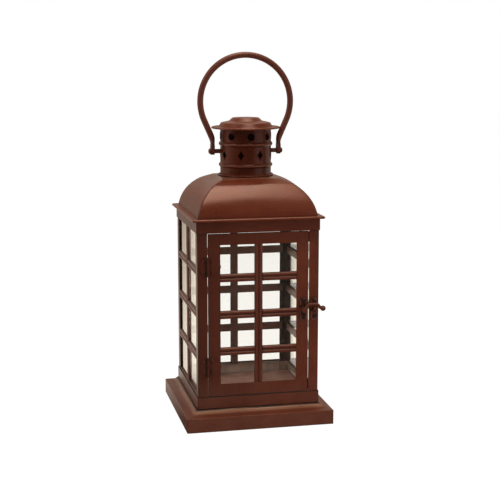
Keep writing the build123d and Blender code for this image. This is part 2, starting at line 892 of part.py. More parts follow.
arm_turn = radians(bail_arm_angle)
elbow_z = pin_z + bail_elbow_height
arm_x = bail_ring_radius * cos(arm_turn)
arm_start = (arm_x, elbow_z + (arm_x - eye_offset) / tan(arm_turn))
ring_z = arm_start[1] + bail_ring_radius * sin(arm_turn)
bend = bail_bend_radius * tan(arm_turn / 2)
arm_end = (eye_offset + bend * sin(arm_turn), elbow_z + bend * cos(arm_turn))
strap_z = pin_z + strap_length
with BuildPart() as bail:
    with BuildLine(Plane.XZ) as half_ring:
        CenterArc((0, ring_z), bail_ring_radius, 90, -90 - bail_arm_angle)
        Line(arm_start, arm_end)
        TangentArc(arm_end, (eye_offset, elbow_z - bend), tangent=(-sin(arm_turn), -cos(arm_turn)))
    with BuildSketch(Plane(origin=(0, 0, ring_z + bail_ring_radius), z_dir=(1, 0, 0))):
        Circle(bail_rod_radius)
    sweep(path=half_ring.line)
    with BuildSketch(Plane(origin=(eye_offset, 0, elbow_z - bend))):
        Circle(bail_rod_radius)
    with BuildSketch(Plane(origin=(eye_offset, 0, strap_z))):
        RectangleRounded(eye_thickness, eye_width, eye_round)
    loft()
    with BuildSketch(Plane(origin=(eye_offset, 0, 0), x_dir=(0, 1, 0), z_dir=(1, 0, 0))):
        with Locations((0, pin_z)):
            Circle(eye_width / 2)
        with Locations((0, (pin_z + strap_z) / 2)):
            Rectangle(eye_width, strap_z - pin_z)
        with Locations((0, pin_z)):
            Circle(journal_radius + pin_play, mode=Mode.SUBTRACT)
    extrude(amount=eye_thickness / 2, both=True)
    mirror(about=Plane.YZ)
keep(bail, "bail")
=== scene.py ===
import json
import math
from collections import namedtuple

import bmesh
import bpy
from mathutils import Matrix, Vector, noise as perlin


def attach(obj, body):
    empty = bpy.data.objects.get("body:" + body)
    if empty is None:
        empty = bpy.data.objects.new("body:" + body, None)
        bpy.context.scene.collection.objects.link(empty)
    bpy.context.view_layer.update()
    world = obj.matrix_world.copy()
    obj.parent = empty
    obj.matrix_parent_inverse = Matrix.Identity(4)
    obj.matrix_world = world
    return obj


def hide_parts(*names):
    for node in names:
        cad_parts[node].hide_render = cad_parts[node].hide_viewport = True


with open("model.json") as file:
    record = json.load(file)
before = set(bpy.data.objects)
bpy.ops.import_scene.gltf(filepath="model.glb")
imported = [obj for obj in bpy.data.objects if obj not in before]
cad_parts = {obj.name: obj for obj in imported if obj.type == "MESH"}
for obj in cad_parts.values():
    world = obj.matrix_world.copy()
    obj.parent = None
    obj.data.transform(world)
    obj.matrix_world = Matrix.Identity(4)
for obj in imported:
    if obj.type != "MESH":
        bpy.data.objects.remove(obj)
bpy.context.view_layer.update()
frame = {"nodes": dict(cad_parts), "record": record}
nodes = frame["nodes"]
bodies = frame["record"]["behaviour"]["bodies"]
body_of = {node: body for body, members in bodies.items() for node in members}
slot_of = {part["node"]: part["material_slot"] for part in frame["record"]["subparts"]}


# Measures that several sections share, in metres: Z is up and the door faces -Y

MM = 0.001
HALF = 75 * MM
SHEET = 1 * MM
LEAF = 0.8 * MM
HINGE_X = -62.4 * MM
HINGE_Z = (199.7 * MM, 76.5 * MM)
LATCH_X = 55.5 * MM
KEEPER_X = 68.9 * MM
LATCH_Z = 143 * MM


# Shader nodes

Grain = namedtuple("Grain", "scale detail span roughness", defaults=((0.0, 1.0), 0.55))


def new_material(name):
    """An empty node material, with its tree and its output node."""
    mat = bpy.data.materials.new(name)
    mat.use_nodes = True
    tree = mat.node_tree
    tree.nodes.clear()
    return mat, tree, tree.nodes.new("ShaderNodeOutputMaterial")


def add(tree, kind, **values):
    """A new node, with its settings and its inputs' own values given by name."""
    node = tree.nodes.new(kind)
    for key, value in values.items():
        if hasattr(node, key):
            setattr(node, key, value)
        else:
            node.inputs[key].default_value = value
    return node


def feed(tree, socket, value):
    """Link an output to a socket, or set the socket's own number or colour."""
    if isinstance(value, bpy.types.NodeSocket):
        tree.links.new(value, socket)
    elif isinstance(value, tuple):
        socket.default_value = (*value, 1.0)
    else:
        socket.default_value = value


def calc(tree, operation, *values):
    """The result of one Math node."""
    node = add(tree, "ShaderNodeMath", operation=operation)
    for socket, value in zip(node.inputs, values):
        feed(tree, socket, value)
    return node.outputs[0]


def split(tree, vector):
    """A vector's X, Y and Z, by name."""
    node = add(tree, "ShaderNodeSeparateXYZ")
    tree.links.new(vector, node.inputs["Vector"])
    return node.outputs


def remap(tree, value, span, to=(0.0, 1.0)):
    """A value carried from one span to another and held at its ends."""
    node = add(tree, "ShaderNodeMapRange")
    for end, (low, high) in (("From", span), ("To", to)):
        node.inputs[end + " Min"].default_value = low
        node.inputs[end + " Max"].default_value = high
    tree.links.new(value, node.inputs["Value"])
    return node.outputs["Result"]


def noise(tree, coords, grain, stretch=None):
    """Noise of a grain, in waves to the metre, squeezed along each axis by a stretch over 1."""
    if stretch:
        mapping = add(tree, "ShaderNodeMapping", Scale=stretch)
        tree.links.new(coords, mapping.inputs["Vector"])
        coords = mapping.outputs["Vector"]
    node = add(tree, "ShaderNodeTexNoise", Scale=grain.scale, Detail=grain.detail,
               Roughness=grain.roughness)
    tree.links.new(coords, node.inputs["Vector"])
    return node.outputs["Fac"]


def patches(tree, coords, grain, to=(0.0, 1.0), stretch=None):
    """Noise that sets in over its grain's own span."""
    return remap(tree, noise(tree, coords, grain, stretch), grain.span, to)


def mix_colour(tree, factor, a, b):
    """Colour a where the factor is 0, and colour b where it is 1."""
    node = add(tree, "ShaderNodeMix", data_type="RGBA", blend_type="MIX")
    feed(tree, node.inputs["Factor"], factor)
    for name, value in (("A", a), ("B", b)):
        feed(tree, [i for i in node.inputs if i.name == name and i.type == "RGBA"][0], value)
    return [o for o in node.outputs if o.type == "RGBA"][0]


def mix_shader(tree, factor, a, b):
    """Shader a where the factor is 0, and shader b where it is 1."""
    node = add(tree, "ShaderNodeMixShader")
    for socket, value in zip(node.inputs, (factor, a, b)):
        feed(tree, socket, value)
    return node.outputs["Shader"]


# Where a finish changes, measured from the lantern's upright axis

# A zone's tint: some zones are really dusty, and others are painted highlights, painted light and
# painted shade.
DustAndPaintedLight = namedtuple("DustAndPaintedLight", "reach height soft tone amount")


def zone(tree, coords, overlay):
    """1 inside a square ring round the axis, between two half-widths and two heights in mm."""
    axes = split(tree, coords)
    reach = calc(tree, "MAXIMUM", *(calc(tree, "ABSOLUTE", axes[axis]) for axis in "XY"))
    mask = None
    for value, (low, high) in ((reach, overlay.reach), (axes["Z"], overlay.height)):
        low, high, soft = low * MM, high * MM, overlay.soft * MM
        rise = remap(tree, value, (low - soft, low + soft))
        fall = remap(tree, value, (high - soft, high + soft), (1.0, 0.0))
        part = calc(tree, "MULTIPLY", rise, fall)
        mask = calc(tree, "MULTIPLY", mask, part) if mask else part
    return mask


def corner_line(tree, coords, width):
    """1 along the two diagonals of the square plan, where two sheets meet."""
    axes = split(tree, coords)
    sides = [calc(tree, "ABSOLUTE", axes[axis]) for axis in "XY"]
    high, low = (calc(tree, operation, *sides) for operation in ("MAXIMUM", "MINIMUM"))
    return remap(tree, calc(tree, "SUBTRACT", high, low), (0.5 * width, width), (1.0, 0.0))


def upright_band(tree, coords, middle, half_width):
    """1 within a distance of an upright plane across X."""
    away = calc(tree, "ABSOLUTE", calc(tree, "SUBTRACT", split(tree, coords)["X"], middle))
    return remap(tree, away, (0.8 * half_width, 1.2 * half_width), (1.0, 0.0))


def fold_line(tree, width):
    """1 along a sheet's folds and edges, where the colour is darkened; in the inner creases this is
    painted shade.
    """
    round_off = add(tree, "ShaderNodeBevel", samples=6, Radius=width)
    turn = add(tree, "ShaderNodeVectorMath", operation="DOT_PRODUCT")
    tree.links.new(round_off.outputs["Normal"], turn.inputs[0])
    tree.links.new(add(tree, "ShaderNodeNewGeometry").outputs["Normal"], turn.inputs[1])
    return remap(tree, turn.outputs["Value"], BEND_SPAN, (1.0, 0.0))


# Finishes

CLOUD = Grain(24.0, 4.0, (0.35, 0.65))
SATIN = Grain(24.0, 4.0, (0.3, 0.7))
BRUSH = Grain(75.0, 4.0, (0.45, 0.75), 0.6)
BRUSH_MOST = 0.42
MOTTLE = Grain(320.0, 3.0, (0.56, 0.78))
MOTTLE_MOST = 0.35
DUST_AND_LIGHT_PATCH = Grain(45.0, 4.0, (0.3, 0.6))
DUST_AND_LIGHT_LEAST = 0.6
HOLLOW_SPAN = (0.3, 0.9)
BLOTCH = Grain(240.0, 2.0)
BLOTCH_EDGE = 0.08
SEAM_BREAK = Grain(70.0, 3.0, (0.35, 0.6))
SEAM_LEAST = 0.5
SEAM_WIDTH = 1.1 * MM
FOLD_BREAK = Grain(110.0, 3.0, (0.38, 0.62))
FOLD_LEAST = 0.3
BEND_SPAN = (0.80, 0.985)
DENT = Grain(40.0, 2.0)
DENT_STRENGTH = 0.2
DENT_DEPTH = 0.2 * MM
PEEL = Grain(1000.0, 2.0)
PEEL_STRENGTH = 0.10
PEEL_DEPTH = 0.05 * MM
GLASS_FILM = Grain(20.0, 4.0, (0.35, 0.8))
FILM_COVER = (0.006, 0.026)
MIRROR_POWER = 2.8
MIRROR_COVER = (0.022, 1.0)
STRIP_TONE = Grain(300.0, 3.0, (0.35, 0.7), 0.6)
STRIP_SATIN = Grain(300.0, 3.0, (0.3, 0.7), 0.6)
STRIP_STREAK = (1, 1, 6)

Tones = namedtuple("Tones", "base deep glow black")
TIN = Tones((0.126, 0.0230, 0.0090), (0.062, 0.0116, 0.0050),
            (0.153, 0.0288, 0.0106), (0.011, 0.0060, 0.0044))
# Tones for the chimney: darker than the tin's, partly soot staining and partly painted shade for
# less light high above the floor.
DARK = Tones((0.056, 0.0092, 0.0032), (0.025, 0.0044, 0.0020),
             (0.104, 0.0178, 0.0056), (0.005, 0.0030, 0.0025))
BAIL = Tones((0.108, 0.0215, 0.0095), (0.056, 0.0110, 0.0052),
             (0.130, 0.0262, 0.0110), (0.012, 0.0065, 0.0048))
# Paler tones for the plates' pressed rims: a painted highlight along each rim.
RIM_HIGHLIGHT_TONES = Tones((0.150, 0.0480, 0.0270), (0.080, 0.0210, 0.0115),
             (0.185, 0.0660, 0.0390), (0.012, 0.0070, 0.0052))
PATINA = (0.011, 0.0092, 0.0068)
# Near-black for painted shade lines.
SHADE_BLACK = (0.010, 0.0060, 0.0045)
# Grey-brown for the painted light on faces inside the lantern.
INSIDE_LIGHT_GREY = (0.205, 0.120, 0.088)
# Pale grey for the foot of the body: partly dusty, partly a painted reflection of the floor.
FLOOR_DUST_AND_REFLECTION = (0.30, 0.20, 0.155)

INSIDE = {"reach": (0.0, 74.3), "height": (24.5, 256), "soft": 0.3}
BAND_INSIDE = {"reach": (0.0, 75.5), "height": (24.5, 37.4), "soft": 0.3}
# Painted light: faces inside the lantern are paler and greyer, standing for light that comes in
# through the glass.
INSIDE_LIGHT = DustAndPaintedLight(**INSIDE, tone=INSIDE_LIGHT_GREY, amount=0.6)
FRAME_INSIDE_LIGHT = DustAndPaintedLight(**INSIDE, tone=INSIDE_LIGHT_GREY, amount=0.45)
FLOOR_INSIDE_LIGHT = DustAndPaintedLight(**INSIDE, tone=(0.74, 0.42, 0.335), amount=0.9)
BAND_INSIDE_LIGHT = DustAndPaintedLight(**BAND_INSIDE, tone=(0.82, 0.66, 0.55), amount=0.95)
POST_FOOT_INSIDE_LIGHT = DustAndPaintedLight(**BAND_INSIDE, tone=(0.60, 0.48, 0.40), amount=0.9)
# Painted highlight: a pale band on the plinth's cove next to the body.
COVE_HIGHLIGHT = DustAndPaintedLight((75.5, 81.5), (18.5, 25), 1.6, (0.44, 0.225, 0.140), 0.58)
# Paler and greyer near the floor on the body's foot and the plinth: partly dusty, partly a painted
# reflection of the floor.
FOOT_DUST_AND_REFLECTION = DustAndPaintedLight((74.5, 95), (15, 50), 12, FLOOR_DUST_AND_REFLECTION, 0.14)
SKIRT_DUST_AND_REFLECTION = DustAndPaintedLight((0.0, 95), (-5, 19), 3, FLOOR_DUST_AND_REFLECTION, 0.10)
# Painted shade: dark lines where the body meets the plinth's deck and where the glass sits on the
# sill.
DECK_SHADE_LINE = DustAndPaintedLight((75, 78.3), (22.5, 25), 0.4, SHADE_BLACK, 0.9)
SILL_SHADE_LINE = DustAndPaintedLight((74.5, 77), (38.3, 39.5), 0.15, SHADE_BLACK, 0.6)
SILL_TOP = DustAndPaintedLight((67, 74.5), (37.6, 39.5), 0.15, (0.33, 0.25, 0.20), 0.9)
EAVE_SHADE = DustAndPaintedLight((60, 80), (226, 257), 5, (0.062, 0.0118, 0.0052), 0.45)
# Painted highlight: a paler ring on the roof's crown round the chimney's foot.
CROWN_HIGHLIGHT = DustAndPaintedLight((0.0, 40), (298.8, 304), 0.8, (0.26, 0.135, 0.090), 0.32)
# Painted highlights: paler rings along the crests of the chimney's two beads.
LOW_BEAD_HIGHLIGHT, HIGH_BEAD_HIGHLIGHT = (DustAndPaintedLight((0.0, 95), (z - 0.9, z + 0.9), 0.5, (0.26, 0.10, 0.06), 0.35)
                       for z in (314.3, 340.3))
# Painted light: the chimney's flange gets the tin's lit base tone over the darker chimney tones.
FLANGE_LIGHT = DustAndPaintedLight((0.0, 95), (300.5, 304.2), 0.6, TIN.base, 0.9)


def paint(name, tones=TIN, rough=(0.33, 0.42), streak=(1, 1, 6), mottle=1.0, crevice=2.2 * MM,
          crevice_shade=0.75, fold=0.8, fold_width=0.8 * MM, seam=0.0, patina=0.0, patina_span=None,
          patina_from=0.47, overlay=(), dull=False, hinge_side_shade=0.0, specular=0.5):
    """Satin red-brown paint on tin: mottled, streaked, dusty, with painted shade in crevices, dark
    folds, edges and seams, and zones of painted light and shade.

    mottle, grime, fold, seam, patina and rubbed are strengths from 0 to 1. grime darkens crevices
    and rubbed darkens the hinge side, both as painted shade; dull takes the gloss off the tinted
    zones, and patina_span keeps patina near an upright plane.
    """
    mat, tree, out = new_material(name)
    coords = add(tree, "ShaderNodeTexCoord").outputs["Object"]
    shader = add(tree, "ShaderNodeBsdfPrincipled", Metallic=0.18, IOR=1.45)
    shader.inputs["Specular IOR Level"].default_value = specular
    colour = mix_colour(tree, patches(tree, coords, CLOUD), tones.base, tones.glow)

    def lay(cover, tone):
        nonlocal colour
        colour = mix_colour(tree, cover, colour, tone)

    lay(patches(tree, coords, BRUSH, (0.0, BRUSH_MOST * mottle), streak), tones.deep)
    lay(patches(tree, coords, MOTTLE, (0.0, MOTTLE_MOST * mottle)), tones.deep)
    # Painted shade: darkest at the hinge side (-X), fading out just past the middle.
    if hinge_side_shade:
        lay(remap(tree, split(tree, coords)["X"], (-HALF, 0.2 * HALF), (hinge_side_shade, 0.0)), tones.deep)
    veil = None
    # Zone tints, each named above as dusty, painted light or painted shade.
    for layer in overlay:
        patch = patches(tree, coords, DUST_AND_LIGHT_PATCH, (DUST_AND_LIGHT_LEAST * layer.amount, layer.amount))
        cover = calc(tree, "MULTIPLY", zone(tree, coords, layer), patch)
        lay(cover, layer.tone)
        veil = calc(tree, "MAXIMUM", veil, cover) if veil else cover
    # Painted shade: the colour goes dark where ambient occlusion finds a crevice or a gap between
    # parts.
    hollow = add(tree, "ShaderNodeAmbientOcclusion", samples=8, Distance=crevice)
    lay(remap(tree, hollow.outputs["AO"], HOLLOW_SPAN, (crevice_shade, 0.0)), tones.black)
    if patina:
        edge = (patina_from, patina_from + BLOTCH_EDGE)
        blotch = remap(tree, noise(tree, coords, BLOTCH), edge, (0.0, patina))
        if patina_span:
            blotch = calc(tree, "MULTIPLY", blotch, upright_band(tree, coords, *patina_span))
        lay(blotch, PATINA)
    if seam:
        broken = patches(tree, coords, SEAM_BREAK, (SEAM_LEAST * seam, seam))
        line = corner_line(tree, coords, SEAM_WIDTH)
        lay(calc(tree, "MULTIPLY", line, broken), tones.black)
    # Dark lines along folds and edges: painted shade where they lie in inner creases.
    if fold:
        broken = patches(tree, coords, FOLD_BREAK, (FOLD_LEAST * fold, fold))
        lay(calc(tree, "MULTIPLY", fold_line(tree, fold_width), broken), tones.black)
    tree.links.new(colour, shader.inputs["Base Color"])
    satin = patches(tree, coords, SATIN, rough)
    if dull:
        satin = calc(tree, "MAXIMUM", satin, veil)
    tree.links.new(satin, shader.inputs["Roughness"])
    dent = add(tree, "ShaderNodeBump", Strength=DENT_STRENGTH * mottle, Distance=DENT_DEPTH)
    tree.links.new(noise(tree, coords, DENT), dent.inputs["Height"])
    peel = add(tree, "ShaderNodeBump", Strength=PEEL_STRENGTH * mottle, Distance=PEEL_DEPTH)
    tree.links.new(noise(tree, coords, PEEL), peel.inputs["Height"])
    tree.links.new(dent.outputs["Normal"], peel.inputs["Normal"])
    tree.links.new(peel.outputs["Normal"], shader.inputs["Normal"])
    tree.links.new(shader.outputs["BSDF"], out.inputs["Surface"])
    return mat


def glass(name):
    """Clear sheet glass: faintly warm, a mirror at a grazing angle, with a thin dusty film."""
    mat, tree, out = new_material(name)
    coords = add(tree, "ShaderNodeTexCoord").outputs["Object"]
    clear = add(tree, "ShaderNodeBsdfTransparent", Color=(0.996, 0.990, 0.975, 1.0))
    gloss = add(tree, "ShaderNodeBsdfGlossy", Roughness=0.04, Color=(1.0, 0.98, 0.94, 1.0))
    film = add(tree, "ShaderNodeBsdfDiffuse", Color=(0.52, 0.48, 0.42, 1.0))
    facing = add(tree, "ShaderNodeLayerWeight", Blend=0.5).outputs["Facing"]
    mirror = remap(tree, calc(tree, "POWER", facing, MIRROR_POWER), (0.0, 1.0), MIRROR_COVER)
    pane = mix_shader(tree, mirror, clear.outputs["BSDF"], gloss.outputs["BSDF"])
    overlay = patches(tree, coords, GLASS_FILM, FILM_COVER)
    dusty = mix_shader(tree, overlay, pane, film.outputs["BSDF"])
    tree.links.new(dusty, out.inputs["Surface"])
    return mat


def steel(name):
    """Plain bent strip for the clips: dull grey with a brushed grain."""
    mat, tree, out = new_material(name)
    coords = add(tree, "ShaderNodeTexCoord").outputs["Object"]
    shader = add(tree, "ShaderNodeBsdfPrincipled", Metallic=0.9)
    bright = patches(tree, coords, STRIP_TONE, stretch=STRIP_STREAK)
    colour = mix_colour(tree, bright, (0.16, 0.14, 0.13), (0.28, 0.26, 0.24))
    tree.links.new(colour, shader.inputs["Base Color"])
    satin = patches(tree, coords, STRIP_SATIN, (0.35, 0.6), STRIP_STREAK)
    tree.links.new(satin, shader.inputs["Roughness"])
    tree.links.new(shader.outputs["BSDF"], out.inputs["Surface"])
    return mat


EVEN = {"streak": (1, 1, 1), "fold": 0.0}
FITTING = {"rough": (0.28, 0.38), "crevice": 3 * MM, "crevice_shade": 0.9, "fold": 1.0}
PAINTS = {
    "painted_roof": dict(rough=(0.26, 0.32), fold=0.0, seam=0.85, overlay=(CROWN_HIGHLIGHT,)),
    "painted_plinth": dict(fold=1.0, fold_width=1.3 * MM, seam=0.6, specular=0.43,
                           overlay=(COVE_HIGHLIGHT, SKIRT_DUST_AND_REFLECTION, DECK_SHADE_LINE)),
    "painted_frame": dict(streak=(6, 6, 1), seam=0.7, hinge_side_shade=0.68, specular=0.42,
                          overlay=(FRAME_INSIDE_LIGHT, POST_FOOT_INSIDE_LIGHT, EAVE_SHADE, FOOT_DUST_AND_REFLECTION)),
    "painted_band": dict(crevice_shade=0.35, seam=0.7, dull=True, hinge_side_shade=0.35, specular=0.36,
                         overlay=(FOOT_DUST_AND_REFLECTION, BAND_INSIDE_LIGHT, DECK_SHADE_LINE, SILL_SHADE_LINE, SILL_TOP, EAVE_SHADE)),
    "painted_bars": dict(streak=(3, 3, 3), crevice=4.5 * MM, crevice_shade=1.0, specular=0.75),
    "painted_inside": dict(fold=0.5, overlay=(INSIDE_LIGHT,)),
    "painted_floor": dict(rough=(0.28, 0.4), crevice_shade=0.15, fold=0.0, dull=True, specular=0.1,
                          overlay=(FLOOR_INSIDE_LIGHT,)),
    "painted_chimney": dict(tones=DARK, rough=(0.25, 0.33), mottle=0.6, crevice_shade=0.45, fold=0.0,
                            specular=0.28, overlay=(LOW_BEAD_HIGHLIGHT, HIGH_BEAD_HIGHLIGHT, FLANGE_LIGHT)),
    "painted_round": dict(**EVEN, rough=(0.33, 0.41), mottle=0.35),
    "painted_bail": dict(**EVEN, tones=BAIL, rough=(0.40, 0.48), mottle=0.35),
    "painted_fittings": dict(**FITTING, fold_width=1.3 * MM, patina=0.75, patina_from=0.49),
    "tarnished_plate": dict(**FITTING, fold_width=1.3 * MM, patina=0.85, patina_from=0.46),
    "rim_highlight": dict(**EVEN, tones=RIM_HIGHLIGHT_TONES, rough=(0.26, 0.36), patina=0.8, patina_from=0.53),
    "painted_hinges": dict(**FITTING, patina=0.5, patina_span=(HINGE_X, 5 * MM), hinge_side_shade=0.62),
}
materials = {name: paint(name, **look) for name, look in PAINTS.items()}
materials["clear_glass"] = glass("clear_glass")
materials["clip_steel"] = steel("clip_steel")

FINISH_BY_NAME = {
    "plinth": "painted_plinth",
    "door_frame": "painted_frame",
    "candle_floor": "painted_floor",
    "roof": "painted_roof",
    "chimney": "painted_chimney",
    "cap": "painted_round",
    "bail": "painted_bail",
    "bail_pins": "painted_bail",
    "latch_lever": "painted_bail",
    "latch_pivot": "painted_bail",
    "latch_plate": "tarnished_plate",
}
FINISH_BY_ENDING = {
    "_post": "painted_frame",
    "_band": "painted_band",
    "_upright": "painted_bars",
    "_bars": "painted_bars",
    "_strips": "painted_inside",
    "_stops": "painted_inside",
}


def finish_of(node_name):
    """The material of a CAD node or of the piece that stands for it."""
    finish = slot_of[node_name]
    if "_hinge_" in node_name:
        finish = "painted_hinges"
    for ending, ending_finish in FINISH_BY_ENDING.items():
        if node_name.endswith(ending):
            finish = ending_finish
    return materials[FINISH_BY_NAME.get(node_name, finish)]


for name, node in nodes.items():
    node.data.materials.clear()
    node.data.materials.append(finish_of(name))


# Making pieces

def add_piece(name, bm, node_name, replaced=(), material=None, sharp=35.0):
    """Turn a mesh into a piece with a CAD node's body and finish, which may replace nodes."""
    body, slot = body_of[node_name], slot_of[node_name]
    bmesh.ops.recalc_face_normals(bm, faces=bm.faces)
    if bm.calc_volume(signed=True) < 0:  # recalc leaves the roof's thin shell inside out
        bmesh.ops.reverse_faces(bm, faces=bm.faces)
    mesh = bpy.data.meshes.new(name)
    bm.to_mesh(mesh)
    bm.free()
    mesh.shade_smooth()
    mesh.set_sharp_from_angle(angle=math.radians(sharp))
    mesh.materials.append(material or finish_of(node_name))
    piece = bpy.data.objects.new(name, mesh)
    bpy.context.scene.collection.objects.link(piece)
    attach(piece, body)
    if replaced:
        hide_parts(*replaced)
    return piece


def skin(bm, rings, closed):
    """Quads between neighbouring rings of points, and from the last to the first if closed."""
    rows = [[bm.verts.new(p) for p in ring] for ring in rings]
    pairs = list(zip(rows, rows[1:]))
    if closed:
        pairs.append((rows[-1], rows[0]))
    for low, high in pairs:
        for i in range(len(low)):
            k = (i + 1) % len(low)
            bm.faces.new((low[i], low[k], high[k], high[i]))


def turns(count):
    """The angles of a full turn in equal steps."""
    return [2 * math.pi * k / count for k in range(count)]


def between(start, end, parts):
    """The points that divide a straight line into equal parts, without its ends."""
    return [tuple(a + (b - a) * i / parts for a, b in zip(start, end)) for i in range(1, parts)]


# Sheets and fittings: the CAD form with its edges eased and its corners folded

MERGE = 1e-6
CLEAN_MERGE = 2e-6
FLAT_ANGLE = math.radians(0.4)
SHEET_BEND = math.radians(30)
FITTING_BEND = math.radians(35)
FOLD_RADIUS = 0.9 * MM
SHEET_EASE = 0.25 * MM
FITTING_EASE = 0.2 * MM
SHORTEST_RIM = 2.5 * MM
AT_CORNER = 0.01 * MM
UPRIGHT_SHARE = 0.99
SHEETS = ("plinth", "candle_floor", "bottom_band", "top_band", "front_left_post",
          "front_right_post", "rear_left_post", "rear_right_post", "door_frame")
EASED_NAMES = ("latch_plate", "keeper")
EASED_ENDINGS = ("_leaf", "_upright", "_bars", "_strips", "_stops")


def node_mesh(node_name):
    """A copy of a CAD node's mesh with its flat faces whole."""
    bm = bmesh.new()
    bm.from_mesh(nodes[node_name].data)
    bmesh.ops.remove_doubles(bm, verts=bm.verts, dist=MERGE)
    bmesh.ops.dissolve_limit(bm, angle_limit=FLAT_ANGLE, verts=bm.verts, edges=bm.edges)
    return bm


def bends(edge, angle):
    return len(edge.link_faces) == 2 and edge.calc_face_angle(0) > angle


def ease(bm, edges, width, segments):
    bmesh.ops.bevel(bm, geom=edges, offset=width, segments=segments, profile=0.5, affect="EDGES")


def stand_in(name, bm, node_name):
    piece = add_piece(name, bm, node_name, [node_name])
    piece.modifiers.new("even_shading", "WEIGHTED_NORMAL").keep_sharp = True


def build_sheet(node_name):
    """A sheet with its long edges eased and its outer upright corners folded to a small radius."""
    bm = node_mesh(node_name)
    reach_x = max(abs(v.co.x) for v in bm.verts)
    reach_y = max(abs(v.co.y) for v in bm.verts)

    def is_fold(edge):
        run = edge.verts[0].co - edge.verts[1].co
        middle = (edge.verts[0].co + edge.verts[1].co) / 2
        outermost = abs(middle.x) > reach_x - AT_CORNER and abs(middle.y) > reach_y - AT_CORNER
        return outermost and abs(run.z) > UPRIGHT_SHARE * run.length

    corners = [e for e in bm.edges if is_fold(e) and bends(e, SHEET_BEND)]
    if corners:
        ease(bm, corners, FOLD_RADIUS, 4)
    rims = [e for e in bm.edges if bends(e, SHEET_BEND) and e.calc_length() > SHORTEST_RIM]
    ease(bm, rims, SHEET_EASE, 2)
    bmesh.ops.remove_doubles(bm, verts=bm.verts, dist=CLEAN_MERGE)
    bmesh.ops.dissolve_degenerate(bm, edges=bm.edges, dist=CLEAN_MERGE)
    stand_in(node_name + "_sheet", bm, node_name)


def build_fitting(node_name):
    """A small fitting with every sharp edge eased."""
    bm = node_mesh(node_name)
    ease(bm, [e for e in bm.edges if bends(e, FITTING_BEND)], FITTING_EASE, 2)
    stand_in(node_name + "_eased", bm, node_name)


for name in SHEETS:
    build_sheet(name)
for name in nodes:
    if name in EASED_NAMES or name.endswith(EASED_ENDINGS):
        build_fitting(name)


# Roof: the same vault with soft hips, a rolled eave and the slight waves of hand-worked sheet

EAVE_Z = 256 * MM
EAVE_HALF = 79.5 * MM
EAVE_LEAN = math.radians(10.8)
EAVE_PULL = 25.9 * MM
CROWN_Z = 301 * MM
CROWN_HALF = 36 * MM
CROWN_RIM = CROWN_HALF - 0.6 * MM
CROWN_SLOPE = math.radians(24.5)
CROWN_PULL = 20.4 * MM
FLUE_RADIUS = 30.6 * MM
ROLL_Z = 255.6 * MM
ROLL_RADIUS = 1.6 * MM
ROLL_START = 119
ROLL_TURN = 313.5
HIP_RADIUS = 1.6 * MM
SWELL = 4.0 * MM
SWELL_AT = 0.25
SWELL_RUN = 0.7
CORNER_DROP = 1.5 * MM
WAVE_MM = 0.22
WAVE_SCALE = 38
SIDE_STEPS = 30
CORNER_STEPS = 5
OUTER_STEPS = 36
INNER_STEPS = 18
ROLL_STEPS = 24


def square_ring(reach, z):
    """Points round a square of a half-width with rounded corners."""
    points = []
    flat = reach - HIP_RADIUS
    for quarter in range(4):
        turn = Matrix.Rotation(quarter * math.pi / 2, 3, "Z")
        for i in range(SIDE_STEPS):
            points.append(turn @ Vector((-flat + 2 * flat * i / SIDE_STEPS, -reach, z)))
        for j in range(CORNER_STEPS):
            angle = -math.pi / 2 + math.pi / 2 * j / CORNER_STEPS
            points.append(turn @ Vector((flat + HIP_RADIUS * math.cos(angle),
                                         -flat + HIP_RADIUS * math.sin(angle), z)))
    return points


def round_ring(radius, z):
    """Points round a circle, one for each point of a square ring."""
    return [Vector((p.x, p.y, 0)).normalized() * radius + Vector((0, 0, z))
            for p in square_ring(CROWN_HALF, 0)]


def vault(foot, crown, steps):
    """Points of the roof's curve from the crown down to the eave, as half-width and height."""
    low = (foot[0] - EAVE_PULL * math.sin(EAVE_LEAN), foot[1] + EAVE_PULL * math.cos(EAVE_LEAN))
    high = (crown[0] + CROWN_PULL * math.cos(CROWN_SLOPE),
            crown[1] - CROWN_PULL * math.sin(CROWN_SLOPE))
    points = []
    for i in range(steps + 1):
        t = i / steps
        weights = (t**3, 3 * t**2 * (1 - t), 3 * t * (1 - t) ** 2, (1 - t) ** 3)
        pulls = list(zip(weights, (foot, low, high, crown)))
        points.append(tuple(sum(w * p[k] for w, p in pulls) for k in (0, 1)))
    return points


def hand_form(p, t):
    """Shift of a roof point a share t of the way down: panels swell, the crown's corners drop."""
    near, far = sorted((abs(p.x), abs(p.y)))
    corner = (near / far) ** 2
    out = Vector((p.x, 0, 0)) if abs(p.x) > abs(p.y) else Vector((0, p.y, 0))
    if t < SWELL_AT:
        swell = math.sin(math.pi / 2 * t / SWELL_AT)
    else:
        swell = max(0, 1 - (t - SWELL_AT) / SWELL_RUN) ** 2
    drop = CORNER_DROP * corner * max(0, 1 - t / SWELL_AT)
    return out.normalized() * SWELL * swell * (1 - corner) - Vector((0, 0, drop))


